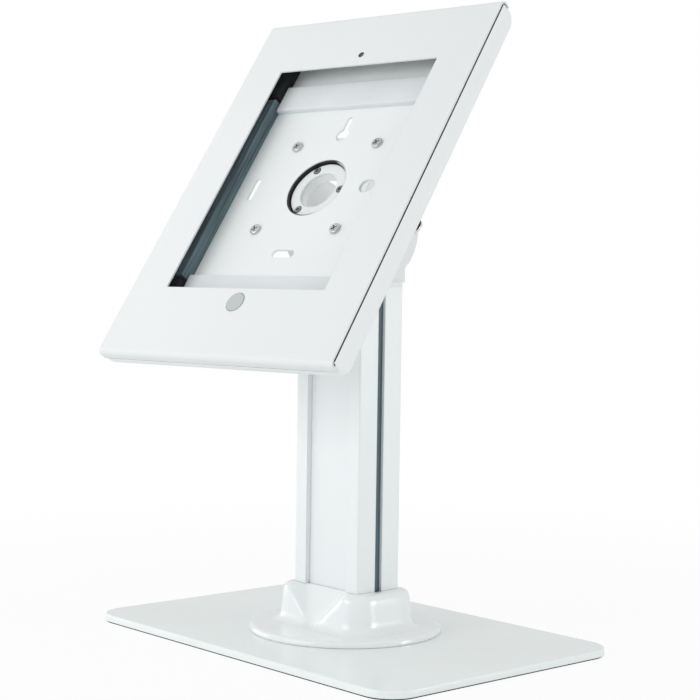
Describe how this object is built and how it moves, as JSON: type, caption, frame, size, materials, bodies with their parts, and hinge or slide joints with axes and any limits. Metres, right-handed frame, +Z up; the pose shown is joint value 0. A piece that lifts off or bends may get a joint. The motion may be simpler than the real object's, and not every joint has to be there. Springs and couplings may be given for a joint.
{
  "type": "tablet kiosk stand",
  "caption": "Desk stand with a foot plate and post that holds a tablet in a lockable case; the neck swivels, tilts and turns, and the case opens at the front.",
  "frame": {"origin": "on the table under the middle of the post, at the centre of the foot plate's underside", "axes": "+Z up along the post, -Y towards the viewer at the stand's front, +X to that viewer's right"},
  "size_m": [0.328, 0.2655, 0.454],
  "materials": {
    "white_paint": "fine white powder coat, half gloss",
    "post_paint": "white powder coat over extruded metal",
    "white_plastic": "moulded, half gloss",
    "mat_rubber": "thin foam rubber mat",
    "black_rubber": "soft grommet",
    "strip_plastic": "dark slot filler",
    "nylon": "natural friction washer",
    "zinc_steel": "bright zinc plating",
    "black_nylon": "black friction bush",
    "black_steel": "blackened steel",
    "grey_foam": "closed-cell foam",
    "black_foam": "closed-cell foam",
    "pale_foam": "pale closed-cell foam",
    "button_plastic": "smooth grey cap"
  },
  "bodies": {
    "base": {"base_mat": "mat_rubber", "base_plate": "white_paint", "base_screws": "zinc_steel", "post": "post_paint", "slot_strips": "strip_plastic", "cable_grommet": "black_rubber", "collar": "white_plastic", "post_cap": "white_paint", "cap_screws": "zinc_steel", "stop_pin": "zinc_steel", "swivel_washer": "nylon"},
    "neck": {"yoke": "white_paint", "swivel_tube": "zinc_steel", "swivel_spring": "zinc_steel", "swivel_nut": "zinc_steel", "tilt_bolt": "zinc_steel", "tilt_nut": "zinc_steel", "tilt_washers": "nylon", "ear_caps": "white_plastic"},
    "arm": {"tilt_arm": "white_paint", "hub_ring": "white_paint", "hub_screws": "black_steel", "hub_washer": "nylon"},
    "case": {"vesa_plate": "white_paint", "vesa_screws": "zinc_steel", "hub_bush": "black_nylon", "rear_shell": "white_paint", "side_pads": "grey_foam", "corner_pads": "black_foam", "rest_pads": "pale_foam", "lock_housing": "black_steel", "lock_nut": "zinc_steel"},
    "lock": {"lock_plug": "zinc_steel", "lock_cam": "zinc_steel", "cam_screw": "zinc_steel"},
    "cover": {"front_cover": "white_paint", "cover_hooks": "zinc_steel", "lock_keeper": "zinc_steel", "button_guide": "white_plastic"},
    "button": {"home_button": "button_plastic"}
  },
  "joints": [
    {"name": "head_swivel", "type": "hinge", "parent": "base", "child": "neck", "pos_m": [0, 0, 0.2588], "axis": [0, 0, 1], "range_deg": [-52.66, 37.34]},
    {"name": "head_tilt", "type": "hinge", "parent": "neck", "child": "arm", "pos_m": [0, 0, 0.2978], "axis": [-0.9911, -0.1333, 0], "range_deg": [-35.34, 54.66]},
    {"name": "head_rotation", "type": "hinge", "parent": "arm", "child": "case", "pos_m": [0.00437, -0.0325, 0.32105], "axis": [0.1087, -0.8085, 0.5784], "range_deg": [-90, 90]},
    {"name": "cover_hinge", "type": "hinge", "parent": "case", "child": "cover", "pos_m": [-0.10065, -0.06936, 0.33077], "axis": [0.0771, -0.5733, -0.8157], "range_deg": [0, 60]},
    {"name": "lock_turn", "type": "hinge", "parent": "case", "child": "lock", "pos_m": [0.10602, -0.04561, 0.30126], "axis": [0.1087, -0.8085, 0.5784], "range_deg": [0, 90]},
    {"name": "home_button_press", "type": "slide", "parent": "cover", "child": "button", "axis": [-0.1087, 0.8085, -0.5784], "range_m": [0, 0.0007], "stiffness_N_per_m": 600, "springref_m": -0.0005}
  ]
}
